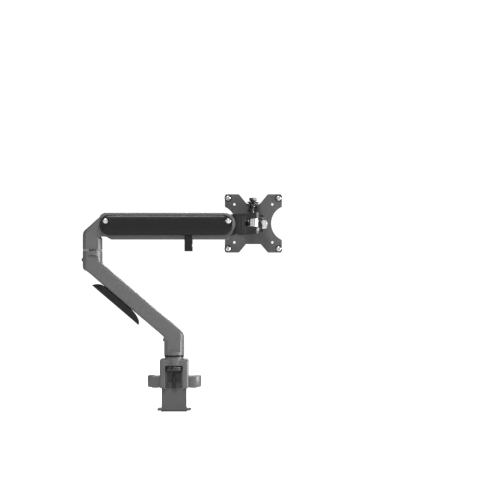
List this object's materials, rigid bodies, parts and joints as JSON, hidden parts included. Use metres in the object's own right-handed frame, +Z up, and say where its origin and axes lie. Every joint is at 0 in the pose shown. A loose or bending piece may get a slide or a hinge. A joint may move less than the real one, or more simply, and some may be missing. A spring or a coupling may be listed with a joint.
{
  "type": "monitor arm",
  "caption": "Desk-clamped monitor arm: clamp base, bent lower arm, gas-spring parallel upper arm and tilting, turning screen plate with a release latch.",
  "frame": {"origin": "on the desk top under the base, on the axis of the post that the arm turns on", "axes": "+X towards the screen head at rest, +Y towards the screen, +Z up"},
  "size_m": [0.3902, 0.113, 0.4239],
  "materials": {
    "grey_paint": "satin powder coat, mid grey",
    "plate_paint": "fine textured powder coat, dark grey",
    "black_plastic": "satin moulded black",
    "black_paint": "satin black paint on a casting",
    "rubber": "matt black rubber",
    "steel": "zinc-plated and turned bright steel",
    "dark_steel": "blackened steel",
    "nylon": "dark nylon"
  },
  "bodies": {
    "desk_clamp": {"base_casting": "grey_paint", "base_pad_left": "rubber", "base_pad_right": "rubber", "post": "steel", "post_ring": "black_plastic"},
    "jaw": {"jaw_bracket": "plate_paint", "jaw_pad": "rubber", "jaw_edge_trim": "rubber", "jaw_nut": "dark_steel"},
    "clamp_screw": {"clamp_screw": "dark_steel", "clamp_wheel": "black_plastic"},
    "lower_arm": {"lower_arm": "grey_paint", "post_bushing": "nylon", "base_set_screw": "dark_steel", "elbow_set_screw": "dark_steel", "elbow_pin": "steel", "elbow_washer": "nylon"},
    "cable_cover": {"cable_cover": "black_plastic"},
    "elbow": {"elbow_bracket": "grey_paint", "pivot_screw_a_rear": "steel", "pivot_screw_a_front": "steel", "lower_pin_a_rear": "dark_steel", "lower_pin_a_front": "dark_steel"},
    "tension_screw": {"tension_screw": "dark_steel"},
    "tension_carriage": {"tension_carriage": "steel", "spring_pin": "dark_steel"},
    "spring_body": {"gas_spring_cylinder": "dark_steel"},
    "spring_rod": {"gas_spring_rod": "steel", "spring_saddle": "dark_steel"},
    "upper_link": {"upper_link": "grey_paint", "spring_anchor_pin": "dark_steel", "cover_rear": "black_plastic", "cover_front": "black_plastic"},
    "lower_link": {"lower_link": "grey_paint", "cable_clip": "black_plastic"},
    "yoke": {"front_yoke": "black_paint", "pivot_screw_b_rear": "steel", "pivot_screw_b_front": "steel", "lower_pin_b_rear": "dark_steel", "lower_pin_b_front": "dark_steel", "swivel_pin": "steel", "pinch_screw": "dark_steel"},
    "knuckle": {"swivel_knuckle": "steel"},
    "tilt_head": {"tilt_bracket": "black_paint", "tilt_bolt": "steel", "tilt_nut": "steel", "tilt_washer_left": "nylon", "tilt_washer_right": "nylon", "rotation_hub": "black_paint", "retaining_ring": "steel"},
    "screen_plate": {"vesa_plate": "plate_paint", "vesa_screw_lower_left": "steel", "vesa_screw_lower_right": "steel", "vesa_screw_upper_left": "steel", "vesa_screw_upper_right": "steel", "latch_housing": "black_paint"},
    "latch": {"latch_plunger": "steel", "latch_knob": "black_plastic", "latch_spring": "steel"}
  },
  "joints": [
    {"name": "jaw_slide", "type": "slide", "parent": "desk_clamp", "child": "jaw", "axis": [0, 0, 1], "range_m": [0, 0.02]},
    {"name": "clamp_screw_turn", "type": "hinge", "parent": "desk_clamp", "child": "clamp_screw", "pos_m": [0, -0.012, 0.038], "axis": [0, 0, 1], "range_deg": [-1800, 0]},
    {"name": "base_swivel", "type": "hinge", "parent": "desk_clamp", "child": "lower_arm", "pos_m": [0, 0, 0.064], "axis": [0, 0, 1], "range_deg": [-180, 180]},
    {"name": "cable_cover_release", "type": "slide", "parent": "lower_arm", "child": "cable_cover", "axis": [-0.6494, 0, -0.7604], "range_m": [0, 0.01]},
    {"name": "elbow_swivel", "type": "hinge", "parent": "lower_arm", "child": "elbow", "pos_m": [-0.1586, 0, 0.2665], "axis": [0, 0, 1], "range_deg": [-180, 180]},
    {"name": "lift", "type": "hinge", "parent": "elbow", "child": "upper_link", "pos_m": [-0.132, 0, 0.3244], "axis": [0, -1, 0], "range_deg": [-40, 40]},
    {"name": "lower_link_turn", "type": "hinge", "parent": "elbow", "child": "lower_link", "pos_m": [-0.132, 0, 0.3046], "axis": [0, -1, 0], "range_deg": [-40, 40]},
    {"name": "tension_screw_turn", "type": "hinge", "parent": "elbow", "child": "tension_screw", "pos_m": [-0.1445, 0, 0.31], "axis": [0, 0, 1], "range_deg": [-300, 300]},
    {"name": "tension_slide", "type": "slide", "parent": "elbow", "child": "tension_carriage", "axis": [0, 0, 1], "range_m": [-0.00125, 0.00125]},
    {"name": "spring_tail_turn", "type": "hinge", "parent": "tension_carriage", "child": "spring_body", "pos_m": [-0.132, 0, 0.3104], "axis": [0, -1, 0], "range_deg": [-40, 40]},
    {"name": "spring_stroke", "type": "slide", "parent": "spring_body", "child": "spring_rod", "axis": [0.9976, 0, 0.0698], "range_m": [-0.0095, 0.0095]},
    {"name": "yoke_level", "type": "hinge", "parent": "upper_link", "child": "yoke", "pos_m": [0.1054, 0, 0.3244], "axis": [0, -1, 0], "range_deg": [-40, 40]},
    {"name": "head_swivel", "type": "hinge", "parent": "yoke", "child": "knuckle", "pos_m": [0.154, 0, 0.3208], "axis": [0, 0, 1], "range_deg": [-90, 18]},
    {"name": "head_tilt", "type": "hinge", "parent": "knuckle", "child": "tilt_head", "pos_m": [0.154, 0.038, 0.3208], "axis": [1, 0, 0], "range_deg": [-45, 45]},
    {"name": "plate_rotation", "type": "hinge", "parent": "tilt_head", "child": "screen_plate", "pos_m": [0.154, 0.076, 0.3208], "axis": [0, 1, 0], "range_deg": [-90, 90]},
    {"name": "latch_pull", "type": "slide", "parent": "screen_plate", "child": "latch", "axis": [0, 0, 1], "range_m": [0, 0.0045], "stiffness_N_per_m": 600, "springref_m": -0.003, "deforming": ["latch_spring"]}
  ],
  "couplings": [
    {"joint": "clamp_screw_turn", "follows": "jaw_slide", "rad_per_m": -1570.8},
    {"joint": "lower_link_turn", "follows": "lift", "ratio": 1},
    {"joint": "yoke_level", "follows": "lift", "ratio": -1},
    {"joint": "spring_tail_turn", "follows": "lift", "ratio": 0.9965},
    {"joint": "spring_stroke", "follows": "lift", "m_per_rad": 0.0133},
    {"joint": "tension_screw_turn", "follows": "tension_slide", "rad_per_m": 4188.8}
  ]
}
